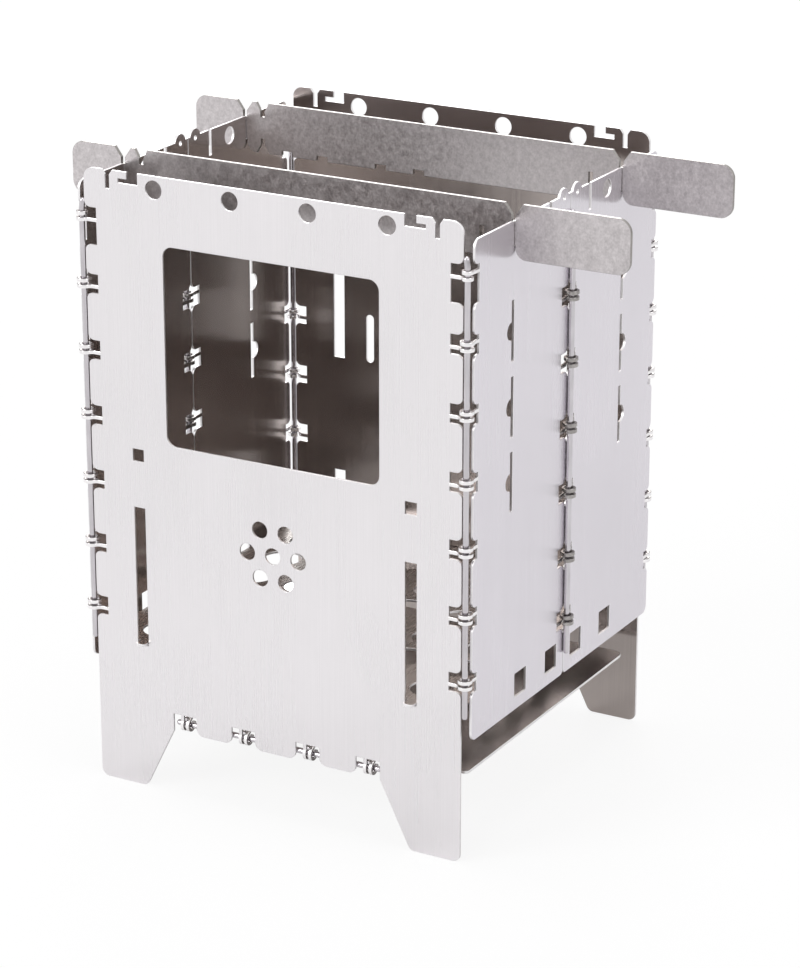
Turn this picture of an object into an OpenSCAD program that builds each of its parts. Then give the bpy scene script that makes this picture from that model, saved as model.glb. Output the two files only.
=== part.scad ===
// Folding twig stove of laser-cut stainless sheet, shown set up.
// X runs along the front panel, Y from front to back, Z up, with the feet on Z = 0.

/* [Panels] */
// Width of the front and back panels
panel_w = 155; // [146:1:170]
// Height of the front and back panels, feet included
panel_h = 240; // [232:1:256]
// Depth of the stove over the outer faces of the front and back panels
box_depth = 147; // [141:1:158]
// Thickness of the panel, wall, grate and ash plate sheet
sheet_t = 1; // [0.8:0.1:1.2]
// Radius of the panels' top corners
panel_corner_r = 4; // [2:0.5:5]
// Radius of the feet's outer corners
foot_corner_r = 3; // [1:0.5:4]
// Width of a foot where it stands on the ground
foot_w = 20.1; // [16:0.1:24]
// Width of a foot where it meets the panel
foot_root_w = 32.8; // [31:0.1:34]
// Radius of the feet's inner corners
foot_inner_r = 3; // [1:0.5:4]
// Height of the panel's lower edge between the feet
skirt_z = 25.5; // [22:0.5:30]
// Height of the cut-outs in that edge, where the ash plate's knuckles sit
skirt_bite_h = 7; // [6.6:0.1:8]
// Width of those cut-outs
skirt_bite_w = 10.2; // [9:0.2:11]
// Distance of the outer pair of cut-outs from the panel's centre
skirt_bite_far = 39.6; // [38.6:0.1:40.6]
// Distance of the inner pair of cut-outs from the panel's centre
skirt_bite_near = 13.9; // [12:0.1:17]
// Radius of the corners of the tabs between the cut-outs
skirt_tab_r = 3; // [1:0.5:3.5]

/* [Feed window] */
// Width of the feed window in the front panel
window_w = 89.4; // [70:0.2:92]
// Height of the feed window
window_h = 75.6; // [50:0.2:80]
// Distance from the panel's top edge down to the window
window_drop = 25.4; // [18:0.2:30]
// Radius of the window's corners
window_r = 4; // [2:0.5:8]

/* [Panel openings] */
// Diameter of the air holes along the panels' top edges
air_hole_d = 7; // [5:0.2:7.4]
// Distance from the panel's side edge to the centre of the outermost air hole
air_hole_in = 29.5; // [28:0.5:34]
// Distance of the air holes' centres below the top edge
air_hole_drop = 5.1; // [4.8:0.1:6]
// Width of the upright slots that take the grate's tongues
grate_slot_w = 4.8; // [4.4:0.1:6]
// Distance of those slots from the panel's centre
grate_slot_x = 57.5; // [55:0.1:61]
// Height of the long slots in the front panel
front_slot_h = 54.8; // [48:0.2:60]
// Height of the short slots in the back panel
back_slot_h = 24.7; // [20:0.1:30]
// Height above the ground of the upper row of openings for the grate
upper_row_z = 130.7; // [124:0.1:134]
// Diameter of the round vents in the middle of the front panel
vent_d = 6.5; // [4:0.1:8]
// Radius of the ring of vents
vent_ring_r = 10.8; // [9:0.1:14]
// Number of vents in the ring
vent_count = 6; // [5:1:7]
// Distance from the feed window down to the middle of the vents
vent_drop = 35; // [20:0.5:50]
// Height of the rounded slots in the back panel
rear_loop_h = 19.8; // [14:0.2:24]
// Width of those rounded slots
rear_loop_w = 3.4; // [2:0.1:5]
// Distance of those rounded slots from the panel's centre
rear_loop_x = 43.2; // [36:0.1:46]

/* [Top edge hooks] */
// Distance from the panel's side edge to the narrow slot in its top edge
top_slot_in = 9.7; // [9:0.1:10.2]
// Width of the narrow slot
top_slot_w = 1.8; // [1.4:0.1:2]
// Width of the narrow slot's flared mouth
top_slot_mouth = 4.4; // [3:0.1:4.6]
// Depth of the narrow slot
top_slot_depth = 7.1; // [5:0.1:9]
// Distance from the panel's side edge to the hook's tip
hook_in = 18; // [17.5:0.1:18.8]
// Length of the undercut below the hook
hook_undercut = 3.7; // [2:0.1:4]
// Thickness of the hook's lip
hook_lip = 2.7; // [2:0.1:3]
// Depth of the cut beside the hook
hook_depth = 4.4; // [4:0.1:6]
// Width of the opening beside the hook
hook_mouth = 4.7; // [3:0.1:5.5]

/* [Walls] */
// Height of the walls' lower edge above the ground
wall_bottom = 48; // [44:0.5:50]
// Distance from the panels' top edge down to the walls' top edge
wall_drop = 6; // [5:0.2:8]
// How far the walls end short of the front and back faces
wall_end_in = 1.5; // [1:0.1:2]
// Gap between the two halves of a wall at the middle hinge
wall_mid_gap = 1; // [0.6:0.1:2]
// Radius of the walls' lower corners
wall_corner_r = 3; // [1:0.5:4]
// Side of the square windows near the walls' lower edge
wall_window = 9.2; // [6:0.2:10]
// Height of those windows above the walls' lower edge
wall_window_up = 5; // [3:0.2:8]
// Distance from the middle of a wall to the near window's centre
wall_window_near = 10.2; // [9.8:0.1:13]
// Distance from the middle of a wall to the far window's centre
wall_window_far = 34.6; // [28:0.1:40]
// Width of the narrow upright slots in the walls
stake_slot_w = 1.9; // [1.2:0.1:2.4]
// Height of each of those slots
stake_slot_h = 22.5; // [16:0.5:24]
// Spacing of those slots up the wall
stake_slot_pitch = 28.1; // [26:0.1:30]
// Number of those slots in each half wall
stake_slot_count = 3; // [2:1:3]
// Radius of the round widening in each slot
stake_bulge_r = 3.3; // [2.6:0.1:4]
// Distance from the middle of a wall to the row of slots
stake_slot_off = 43.6; // [42.5:0.1:48]
// Distance from the wall's top edge to the uppermost slot
stake_slot_drop = 28.6; // [24:0.2:32]
// Diameter of the round hole near each half wall's top edge
wall_hole_d = 6.8; // [4:0.2:8]
// Distance of that hole from the middle of the wall
wall_hole_off = 29.4; // [26:0.2:34]
// Distance of that hole's centre below the wall's top edge
wall_hole_drop = 5.1; // [4.6:0.1:8]
// Distance of the narrow top slot from the middle of the wall
wall_slot_off = 15.6; // [14.6:0.2:20]
// Width of that slot
wall_slot_w = 1.8; // [1.2:0.1:2.4]
// Depth of that slot
wall_slot_depth = 10; // [6:0.2:14]
// Radius of the rounded knob beside the middle hinge
knob_r = 3.7; // [3:0.1:4]
// Distance of the knob's centre from the middle of the wall
knob_off = 5.2; // [5:0.1:6.4]
// How far the knob's centre lies below the wall's top edge
knob_drop = 0.9; // [0.5:0.1:1.5]
// Diameter of the small hole in the knob
knob_hole_d = 1.8; // [1:0.1:2.4]

/* [Hinges] */
// Diameter of the hinge pins
pin_d = 2.2; // [1.8:0.1:2.4]
// Radial play of the pins in the curled knuckles
knuckle_play = 0.6; // [0.4:0.05:0.7]
// Radial play of the pins in the top knuckles, which are crimped
crimp_play = 0.05; // [0.02:0.01:0.1]
// Width of a curled knuckle along its pin
knuckle_w = 1.4; // [1:0.1:1.8]
// Gap between the two knuckles of a pair
knuckle_gap = 0.9; // [0.6:0.1:1.2]
// Number of knuckle pairs along an upright hinge
station_count = 7; // [5:1:7]
// Height of the lowest pair above the walls' lower edge
station_first_up = 22.4; // [18:0.2:26]
// Distance of the highest pair below the walls' top edge
station_last_drop = 12.5; // [11:0.2:14]
// Height of the cut-out round a knuckle pair
bite_h = 7.2; // [6.6:0.1:8]
// How far the highest cut-out runs on down, so that the pin goes in
bite_extra = 6.8; // [4:0.2:8]
// Depth of the cut-outs in the panels' side edges
panel_bite = 4.5; // [4.2:0.1:5]
// Depth of the cut-outs in the walls' edges at the corner hinges
wall_bite = 3.5; // [3.2:0.1:4]
// Depth of the cut-outs in the walls' edges at the middle hinges
middle_bite = 5.2; // [5:0.1:5.6]
// Radius of the corners at the mouth of a cut-out
bite_mouth_r = 2.2; // [1:0.1:2.6]
// Gap between a corner pin and the edge of the panel beside it
panel_pin_gap = 0.8; // [0.6:0.05:1]
// Gap between a corner pin and the face of the wall beside it
wall_pin_gap = 0.2; // [0.1:0.05:0.3]
// Gap between a middle pin or the ash plate's pin and the sheet that it runs along
along_pin_gap = 0.1; // [0.05:0.05:0.2]
// Length of pin past the lowest knuckle pair
pin_tail = 13.9; // [8:0.5:18]
// Length of pin past the highest knuckle pair
pin_head = 6.6; // [5:0.2:8]

/* [Ash plate] */
// Height of the ash plate's knuckles above the panel's lower edge
ash_knuckle_up = 0.3; // [0.1:0.1:0.5]
// Distance from the hinge axis up to the ash plate's middle
ash_lift = 3.9; // [3.2:0.1:4.5]
// Clearance of the ash plate from the panels' side edges
ash_side_in = 0.5; // [0:0.1:2]
// Distance from the hinge axis to the ash plate's front edge
ash_front_gap = 5; // [4:0.1:6]
// Distance from the back panel to the ash plate's rear edge
ash_rear_gap = 9.5; // [6:0.5:14]
// Width of the tongues that hold the ash plate in the back panel
ash_tongue_w = 8; // [6:0.2:8.4]
// How far those tongues show behind the back panel
ash_tongue_out = 1.5; // [0.5:0.1:3]
// Radius of the ash plate's corners
ash_corner_r = 4; // [2:0.5:8]

/* [Grate] */
// Height of the grate's underside above the ground in the lower row
grate_z = 58; // [54:0.2:60]
// Clearance between the grate and the panels
grate_gap = 0.7; // [0.4:0.1:1.5]
// Clearance between the grate and the upright hinge pins, sideways
grate_side_gap = 3.5; // [3:0.1:6]
// Diameter of the holes in the grate
grate_hole_d = 16; // [8:0.5:17]
// Number of holes across the grate
grate_cols = 6; // [3:1:6]
// Number of holes from the front of the grate to its back
grate_rows = 6; // [3:1:6]
// Width of the plain rim beside the holes, left and right
grate_side_rim = 10; // [6:0.5:14]
// Width of the plain rim in front of the holes
grate_front_rim = 5.3; // [4:0.1:8]
// Width of the plain rim behind the holes
grate_rear_rim = 15.3; // [8:0.1:18]
// How far the grate's tongues show outside the panels
grate_tongue_out = 2.5; // [1.5:0.1:4]

/* [Pot supports] */
// Thickness of the pot supports
support_t = 1.5; // [1.2:0.1:2]
// Height of the pot supports
support_h = 20; // [18:0.5:22]
// Distance of each pot support from the middle of the stove
support_off = 42.4; // [40:0.2:46]
// Length of the tab outside the right wall
tab_long = 45; // [30:0.5:60]
// Length of the tab outside the left wall
tab_short = 22.6; // [14:0.2:30]
// Depth of the notches in the lower edge, which straddle the walls
notch_depth = 5; // [4:0.1:6]
// Radius of the supports' lower corners beside those notches
notch_mouth_r = 4.2; // [3:0.1:4.5]
// Width of the slope on each side of a notch in the upper edge
notch_slope_w = 2.8; // [2:0.1:3.2]
// Height of that slope
notch_slope_h = 3.8; // [3:0.1:4.4]
// Width of the slope on each side of a slit at the left end
slit_slope_w = 2; // [1:0.1:2.4]
// Height of that slope
slit_slope_h = 3.4; // [2:0.1:4]
// Radius of the tabs' outer corners
tab_r = 5; // [3:0.2:8]
// Distance from the left notch to the narrow slit
slit_off = 8; // [7:0.1:9]
// Width of the slits
slit_w = 1.7; // [1.2:0.1:2]
// Depth of the slits at the left end
slit_depth = 5.7; // [4.4:0.1:6.4]
// Distance from the right notch to the long slit
long_slit_off = 12.4; // [8:0.2:16]
// Depth of the long slit
long_slit_depth = 10.5; // [6:0.2:12]
// Places of the shallow recesses in the lower edge, from the middle of the stove
recess_x = [-62.3, -46.5, -20.6, -3.9];
// Width of those recesses
recess_w = 4.8; // [3:0.1:6]
// Depth of those recesses
recess_depth = 2; // [1:0.1:3]

/* [Fits] */
// Clearance between a loose piece and the opening that takes it
fit_gap = 0.3; // [0.2:0.05:0.4]
// Gap between a loose piece and the edge that it rests on
rest_gap = 0.2; // [0.1:0.05:0.3]

/* [Hidden] */
$fn = 48;

eps = 0.01;
cut = 2;
panel_x = panel_w / 2;
face_y = box_depth / 2;
inner_y = face_y - sheet_t;
pin_r = pin_d / 2;
bore_r = pin_r + knuckle_play;
knuckle_r = bore_r + sheet_t;
crimp_bore_r = pin_r + crimp_play;

// Upright hinge axes: the corner pins stand beside the panels, the middle pins outside the walls.
corner_x = panel_x + panel_pin_gap + pin_r;
corner_y = face_y - sheet_t / 2;
wall_in_x = corner_x + pin_r + wall_pin_gap;
wall_mid_x = wall_in_x + sheet_t / 2;
middle_x = wall_in_x + sheet_t + pin_r + along_pin_gap;

wall_top = panel_h - wall_drop;
wall_h = wall_top - wall_bottom;
half_wall_len = face_y - wall_end_in - wall_mid_gap / 2;
half_span = half_wall_len + wall_mid_gap / 2;

station_first = wall_bottom + station_first_up;
station_last = wall_top - station_last_drop;
station_pitch = (station_last - station_first) / (station_count - 1);
stations = [for (i = [0 : station_count - 1]) station_first + i * station_pitch];
knuckle_step = knuckle_w + knuckle_gap;
lower_knuckle = -knuckle_step / 2;
upper_knuckle = knuckle_step / 2;

// Four air holes stand at even spacing, so the inner ones are a third as far out as the outer ones.
air_hole_x = panel_x - air_hole_in;
window_low = panel_h - window_drop - window_h;
vent_z = window_low - vent_drop;

// The ash plate's pin runs behind the front panel's lower edge.
ash_y = -inner_y + pin_r + along_pin_gap;
ash_z = skirt_z + knuckle_r + ash_knuckle_up;
ash_plate_z = ash_z + ash_lift;
skirt_bite_top = skirt_z + skirt_bite_h;
skirt_bites = [-skirt_bite_far, -skirt_bite_near, skirt_bite_near, skirt_bite_far];
rear_bite_top = ash_plate_z + sheet_t / 2 + fit_gap;

grate_half_w = corner_x - grate_side_gap;
grate_half_y = inner_y - grate_gap;
grate_hole_x = grate_half_w - grate_side_rim - grate_hole_d / 2;
grate_hole_front = -grate_half_y + grate_front_rim + grate_hole_d / 2;
grate_hole_rear = grate_half_y - grate_rear_rim - grate_hole_d / 2;
grate_pitch_x = 2 * grate_hole_x / (grate_cols - 1);
grate_pitch_y = (grate_hole_rear - grate_hole_front) / (grate_rows - 1);
grate_tongue_w = grate_slot_w - 2 * fit_gap;
slot_floor = grate_z - rest_gap;

support_top = panel_h;
support_bottom = support_top - support_h;
support_neck = support_bottom + notch_depth;
// The notches in the supports' upper edge reach just below the walls' top edges.
top_notch_depth = wall_drop + rest_gap;
wall_slot_floor = support_neck - rest_gap;
support_slot_w = support_t + 2 * fit_gap;
notch_w = sheet_t + 2 * fit_gap;

// The tabs are of two lengths, so the stove stands left of the middle of its whole outline.
box_x = -(tab_long - tab_short) / 2;

// The corner of a square that a round of radius r leaves, in the quadrant of +X and +Y.
module corner_waste(r) {
    difference() {
        translate([-eps, -eps]) square(r + eps);
        translate([r, r]) circle(r);
    }
}

// The same for the corner between the edge along +X and an edge that leans from Y towards -X by lean.
module slant_corner_waste(r, lean) {
    reach = r / tan((90 + lean) / 2);
    difference() {
        polygon([
            [-cut, -cut],
            [reach, -cut],
            [reach, r],
            [-reach * sin(lean) - cut * cos(lean), reach * cos(lean) - cut * sin(lean)]
        ]);
        translate([reach, r]) circle(r);
    }
}

// A flat shape drawn in X and Z, given the thickness t from Y = y0 backwards.
module upright(y0, t) {
    translate([0, y0 + t, 0]) rotate([90, 0, 0]) linear_extrude(t) children();
}

// A flat shape drawn in Y and Z, given the thickness t from X = x0 outwards.
module sideways(x0, t) {
    translate([x0, 0, 0]) rotate([90, 0, 90]) linear_extrude(t) children();
}

module both_sides() {
    children();
    mirror([1, 0]) children();
}

// A rectangle w by h standing on its lower edge's middle, with corners of radius r.
module round_rect(w, h, r) {
    translate([-w / 2 + r, 0]) square([w - 2 * r, h]);
    translate([-w / 2, r]) square([w, h - 2 * r]);
    for (x = [-w / 2 + r, w / 2 - r], y = [r, h - r]) translate([x, y]) circle(r);
}

// A cut-out in an edge along Y, with the sheet on the side of -X and its mouth corners rounded.
module edge_bite(depth, low, high) {
    translate([-depth, low]) square([depth + cut, high - low]);
    translate([0, high]) mirror([1, 0]) corner_waste(bite_mouth_r);
    translate([0, low]) mirror([1, 0]) mirror([0, 1]) corner_waste(bite_mouth_r);
}

// The row of cut-outs for the knuckle pairs along an upright edge.
module edge_bites(depth) {
    for (i = [0 : station_count - 1]) {
        extra = i == station_count - 1 ? bite_extra : 0;
        edge_bite(depth, stations[i] - bite_h / 2 - extra, stations[i] + bite_h / 2);
    }
}

// One curled knuckle round an upright pin at the origin, on a tongue that starts at -X = reach
// and lies off to one side of the pin by side.
module knuckle(z, reach, side, play) {
    bore = pin_r + play;
    translate([0, 0, z - knuckle_w / 2]) difference() {
        union() {
            cylinder(r = bore + sheet_t, h = knuckle_w);
            translate([-reach, side - sheet_t / 2, 0]) cube([reach, sheet_t, knuckle_w]);
        }
        translate([0, 0, -cut]) cylinder(r = bore, h = knuckle_w + 2 * cut);
    }
}

// The knuckles of one sheet along an upright pin; the highest one is crimped to the pin.
module knuckle_row(level, reach, side) {
    for (i = [0 : station_count - 1]) {
        play = i == station_count - 1 ? crimp_play : knuckle_play;
        knuckle(stations[i] + level, reach, side, play);
    }
}

// The slot and the undercut hook in the panel's top edge, right of the centre.
module top_hook() {
    slot_x = panel_x - top_slot_in;
    translate([slot_x - top_slot_w / 2, panel_h - top_slot_depth]) square([top_slot_w, top_slot_depth + cut]);
    polygon([
        [slot_x - top_slot_mouth / 2, panel_h + eps],
        [slot_x - top_slot_w / 2, panel_h - top_slot_w],
        [slot_x + top_slot_w / 2, panel_h - top_slot_w],
        [slot_x + top_slot_mouth / 2, panel_h + eps]
    ]);
    hook_x = panel_x - hook_in;
    translate([hook_x - hook_mouth, panel_h - hook_depth]) square([hook_mouth, hook_depth + cut]);
    translate([hook_x - hook_mouth, panel_h - hook_depth])
        square([hook_mouth + hook_undercut, hook_depth - hook_lip]);
}

// The outline that the front and back panels share, with cut-outs in the lower edge up to bite_top.
module panel_outline(bite_top) {
    foot_lean = atan2(foot_root_w - foot_w, skirt_z);
    leg_in = panel_x - foot_root_w;
    gap_x = panel_x - foot_w + cut * tan(foot_lean);
    difference() {
        translate([-panel_x, 0]) square([panel_w, panel_h]);
        polygon([
            [-gap_x, -cut],
            [-leg_in, skirt_z],
            [leg_in, skirt_z],
            [gap_x, -cut]
        ]);
        both_sides() translate([panel_x - foot_w, 0]) slant_corner_waste(foot_inner_r, foot_lean);
        for (x = skirt_bites)
            translate([x - skirt_bite_w / 2, skirt_z - cut]) square([skirt_bite_w, bite_top - skirt_z + cut]);
        both_sides() {
            translate([panel_x, panel_h]) rotate(180) corner_waste(panel_corner_r);
            translate([panel_x, 0]) rotate(90) corner_waste(foot_corner_r);
            translate([skirt_bite_far - skirt_bite_w / 2, skirt_z]) rotate(90) corner_waste(skirt_tab_r);
            translate([skirt_bite_near + skirt_bite_w / 2, skirt_z]) corner_waste(skirt_tab_r);
            translate([skirt_bite_near - skirt_bite_w / 2, skirt_z]) rotate(90) corner_waste(skirt_tab_r);
            translate([panel_x, 0]) edge_bites(panel_bite);
            top_hook();
            for (x = [air_hole_x / 3, air_hole_x])
                translate([x, panel_h - air_hole_drop]) circle(d = air_hole_d);
        }
    }
}

// The panel's own knuckles round the pins at its two corners.
module panel_knuckles(y) {
    for (m = [0, 1]) mirror([m, 0, 0])
        translate([corner_x, y, 0]) knuckle_row(lower_knuckle, corner_x - panel_x + panel_bite, 0);
}

module grate_slot(z, h) {
    both_sides() translate([grate_slot_x - grate_slot_w / 2, z]) square([grate_slot_w, h]);
}

module front_panel() {
    color("gainsboro") translate([box_x, 0, 0]) {
        upright(-face_y, sheet_t) difference() {
            panel_outline(skirt_bite_top);
            translate([0, window_low]) round_rect(window_w, window_h, window_r);
            grate_slot(slot_floor, front_slot_h);
            grate_slot(upper_row_z, grate_slot_w);
            translate([0, vent_z]) circle(d = vent_d);
            for (i = [0 : vent_count - 1])
                translate([0, vent_z]) rotate(360 * i / vent_count)
                    translate([vent_ring_r, 0]) circle(d = vent_d);
        }
        panel_knuckles(-corner_y);
        for (x = skirt_bites) ash_knuckle_fixed(x);
    }
}

// The front panel's share of an ash plate hinge: a tongue that curls back under the panel.
module ash_knuckle_fixed(x) {
    translate([x - knuckle_step / 2, ash_y, ash_z]) difference() {
        union() {
            along_x() cylinder(r = knuckle_r, h = knuckle_w, center = true);
            translate([-knuckle_w / 2, -face_y - ash_y, 0])
                cube([knuckle_w, sheet_t, skirt_bite_top - ash_z + eps]);
        }
        along_x() cylinder(r = bore_r, h = knuckle_w + cut, center = true);
    }
}

module along_x() {
    rotate([0, 90, 0]) children();
}

module back_panel() {
    color("gainsboro") translate([box_x, 0, 0]) {
        upright(inner_y, sheet_t) difference() {
            panel_outline(rear_bite_top);
            grate_slot(slot_floor, back_slot_h);
            grate_slot(upper_row_z, front_slot_h);
            both_sides() translate([rear_loop_x, upper_row_z])
                round_rect(rear_loop_w, rear_loop_h, rear_loop_w / 2 - eps);
        }
        panel_knuckles(corner_y);
    }
}

// Half of a wall drawn in Y and Z, from the corner at Y = 0 to the middle of the wall.
module half_wall_outline() {
    mid = half_wall_len;
    difference() {
        union() {
            translate([0, wall_bottom]) square([mid, wall_h]);
            translate([half_span - knob_off, wall_top - knob_drop]) circle(knob_r);
        }
        translate([0, wall_bottom]) corner_waste(wall_corner_r);
        translate([mid, wall_bottom]) rotate(90) corner_waste(wall_corner_r / 2);
        translate([0, wall_top]) rotate(270) corner_waste(wall_corner_r);
        mirror([1, 0]) edge_bites(wall_bite);
        translate([mid, 0]) edge_bites(middle_bite);
        translate([half_span - support_off - support_slot_w / 2, wall_slot_floor])
            square([support_slot_w, wall_top - wall_slot_floor + cut]);
        translate([half_span - wall_slot_off - wall_slot_w / 2, wall_top - wall_slot_depth])
            square([wall_slot_w, wall_slot_depth + cut]);
        translate([half_span - knob_off, wall_top - knob_drop]) circle(d = knob_hole_d);
        translate([half_span - wall_hole_off, wall_top - wall_hole_drop]) circle(d = wall_hole_d);
        for (off = [wall_window_near, wall_window_far])
            translate([half_span - off - wall_window / 2, wall_bottom + wall_window_up]) square(wall_window);
        for (i = [0 : stake_slot_count - 1])
            translate([half_span - stake_slot_off, wall_top - stake_slot_drop - i * stake_slot_pitch])
                stake_slot();
    }
}

// A narrow slot hanging down from the origin, with a round widening towards the corner.
module stake_slot() {
    translate([-stake_slot_w / 2, -stake_slot_h]) square([stake_slot_w, stake_slot_h]);
    translate([-stake_slot_w / 2, -stake_slot_h / 2]) difference() {
        circle(stake_bulge_r);
        translate([stake_slot_w, -stake_bulge_r - cut]) square(2 * stake_bulge_r + 2 * cut);
    }
}

// The front half of the right wall; middle_level sets which knuckle of the middle pairs is its own.
module half_wall(middle_level) {
    start_y = -face_y + wall_end_in;
    sideways(wall_in_x, sheet_t) translate([start_y, 0]) half_wall_outline();
    translate([corner_x, -corner_y, 0]) rotate(-90)
        knuckle_row(upper_knuckle, wall_bite + wall_end_in - sheet_t / 2, wall_mid_x - corner_x);
    translate([middle_x, 0, 0]) rotate(90)
        knuckle_row(middle_level, middle_bite + wall_mid_gap / 2, middle_x - wall_mid_x);
}

module right_front_wall() {
    color("gainsboro") translate([box_x, 0, 0]) half_wall(lower_knuckle);
}

module right_rear_wall() {
    color("gainsboro") translate([box_x, 0, 0]) mirror([0, 1, 0]) half_wall(upper_knuckle);
}

module left_front_wall() {
    color("gainsboro") translate([box_x, 0, 0]) mirror([1, 0, 0]) half_wall(lower_knuckle);
}

module left_rear_wall() {
    color("gainsboro") translate([box_x, 0, 0]) mirror([1, 0, 0]) mirror([0, 1, 0]) half_wall(upper_knuckle);
}

// An upright pin at X = x and Y = y, from below the lowest knuckles to above the highest.
module upright_pin(x, y) {
    low = station_first - pin_tail;
    translate([box_x + x, y, low]) cylinder(d = pin_d, h = station_last + pin_head - low);
}

module front_right_pin() {
    color("silver") upright_pin(corner_x, -corner_y);
}

module front_left_pin() {
    color("silver") upright_pin(-corner_x, -corner_y);
}

module rear_right_pin() {
    color("silver") upright_pin(corner_x, corner_y);
}

module rear_left_pin() {
    color("silver") upright_pin(-corner_x, corner_y);
}

module right_middle_pin() {
    color("silver") upright_pin(middle_x, 0);
}

module left_middle_pin() {
    color("silver") upright_pin(-middle_x, 0);
}

// The ash plate's own knuckle: a tongue that steps down from the plate and curls round the pin.
module ash_knuckle_moving(x) {
    top = knuckle_r;
    plate_low = ash_lift - sheet_t / 2;
    plate_high = ash_lift + sheet_t / 2;
    translate([x + knuckle_step / 2, ash_y, ash_z]) difference() {
        union() {
            along_x() cylinder(r = knuckle_r, h = knuckle_w, center = true);
            sideways(-knuckle_w / 2, knuckle_w) polygon([
                [0, top - sheet_t],
                [0, top],
                [ash_front_gap, plate_high],
                [ash_front_gap + sheet_t, plate_high],
                [ash_front_gap + sheet_t, plate_low],
                [ash_front_gap, plate_low]
            ]);
        }
        along_x() cylinder(r = bore_r, h = knuckle_w + cut, center = true);
    }
}

module ash_plate() {
    front = ash_y + ash_front_gap;
    rear = inner_y - ash_rear_gap;
    half = panel_x - ash_side_in;
    color("lightgray") translate([box_x, 0, 0]) {
        translate([0, 0, ash_plate_z - sheet_t / 2]) linear_extrude(sheet_t) {
            difference() {
                translate([-half, front]) square([2 * half, rear - front]);
                both_sides() {
                    translate([half, rear]) rotate(180) corner_waste(ash_corner_r);
                    translate([half, front]) rotate(90) corner_waste(ash_corner_r / 2);
                }
            }
            for (x = [-skirt_bite_far, skirt_bite_far])
                translate([x - ash_tongue_w / 2, rear - cut])
                    square([ash_tongue_w, face_y + ash_tongue_out - rear + cut]);
        }
        for (x = skirt_bites) ash_knuckle_moving(x);
    }
}

module ash_plate_pin() {
    len = 2 * (skirt_bite_far + skirt_bite_w / 2) - 2 * fit_gap;
    color("silver") translate([box_x, ash_y, ash_z]) along_x() cylinder(d = pin_d, h = len, center = true);
}

module grate() {
    color("lightgray") translate([box_x, 0, grate_z]) linear_extrude(sheet_t) {
        difference() {
            square([2 * grate_half_w, 2 * grate_half_y], center = true);
            for (i = [0 : grate_cols - 1], j = [0 : grate_rows - 1])
                translate([-grate_hole_x + i * grate_pitch_x, grate_hole_front + j * grate_pitch_y])
                    circle(d = grate_hole_d);
        }
        for (m = [0, 1], n = [0, 1]) mirror([m, 0]) mirror([0, n])
            translate([grate_slot_x, grate_half_y - cut])
                grate_tongue(face_y + grate_tongue_out - grate_half_y + cut);
    }
}

// A tongue of the grate with a rounded tip, pointing along +Y from the origin.
module grate_tongue(len) {
    tip_r = grate_tongue_w / 3;
    translate([-grate_tongue_w / 2, 0]) square([grate_tongue_w, len - tip_r]);
    translate([-grate_tongue_w / 2 + tip_r, 0]) square([grate_tongue_w - 2 * tip_r, len]);
    for (x = [-1, 1]) translate([x * (grate_tongue_w / 2 - tip_r), len - tip_r]) circle(tip_r);
}

// A notch in the edge along X at Y = 0, cut w wide and depth deep into +Y, with rounded mouth corners.
module edge_notch(w, depth, r) {
    translate([-w / 2, -cut]) square([w, depth + cut]);
    both_sides() translate([w / 2, 0]) corner_waste(r);
}

// A notch of the same kind whose mouth widens by slope_w on each side over the height slope_h.
module sloped_notch(w, depth, slope_w, slope_h) {
    translate([-w / 2, -cut]) square([w, depth + cut]);
    polygon([
        [-w / 2 - slope_w, -eps],
        [-w / 2, slope_h],
        [w / 2, slope_h],
        [w / 2 + slope_w, -eps]
    ]);
}

// The pot support's outline in X and Z, with its lower edge on Z = 0.
module support_outline() {
    left = -wall_mid_x - tab_short;
    right = wall_mid_x + tab_long;
    slit_x = -wall_mid_x + slit_off;
    difference() {
        translate([left, 0]) square([right - left, support_h]);
        for (x = [-wall_mid_x, wall_mid_x]) {
            translate([x, 0]) edge_notch(notch_w, notch_depth, notch_mouth_r);
            translate([x, support_h]) mirror([0, 1])
                sloped_notch(notch_w, top_notch_depth, notch_slope_w, notch_slope_h);
        }
        translate([slit_x, 0]) sloped_notch(slit_w, slit_depth, slit_slope_w, slit_slope_h);
        translate([slit_x, support_h]) mirror([0, 1])
            sloped_notch(slit_w, slit_depth, slit_slope_w, slit_slope_h);
        translate([wall_mid_x - long_slit_off, 0]) edge_notch(slit_w, long_slit_depth, slit_w / 2);
        for (x = recess_x)
            translate([x, 0]) edge_notch(recess_w, recess_depth, recess_depth / 4);
        translate([left, 0]) corner_waste(tab_r);
        translate([left, support_h]) rotate(270) corner_waste(tab_r);
        translate([right, 0]) rotate(90) corner_waste(tab_r);
        translate([right, support_h]) rotate(180) corner_waste(tab_r);
    }
}

module pot_support(y) {
    color("darkgray") translate([box_x, 0, support_bottom])
        upright(y - support_t / 2, support_t) support_outline();
}

module front_pot_support() {
    pot_support(-support_off);
}

module rear_pot_support() {
    pot_support(support_off);
}

front_panel();
back_panel();
right_front_wall();
right_rear_wall();
left_front_wall();
left_rear_wall();
front_right_pin();
front_left_pin();
rear_right_pin();
rear_left_pin();
right_middle_pin();
left_middle_pin();
ash_plate();
ash_plate_pin();
grate();
front_pot_support();
rear_pot_support();
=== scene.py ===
# %% [markdown]
# A folding twig stove, dressed for its picture
#
# The stove is a box of laser-cut stainless steel. Two tall panels with feet stand at the front and the
# back, and two walls join them, each of them two halves. Small tongues on the sheets' edges are rolled
# round steel wires, and so make hinges. A perforated grate, a plate for the ash and two supports for
# the pot are set into the box.
#
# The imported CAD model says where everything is. This script loads it, makes a finer piece for each
# part of it, and gives every piece the finish of the real sheet. All lengths are in metres, so a value
# in millimetres is multiplied by MM.

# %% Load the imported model
import math

import bmesh
import bpy
from mathutils import Matrix, Vector


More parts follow.
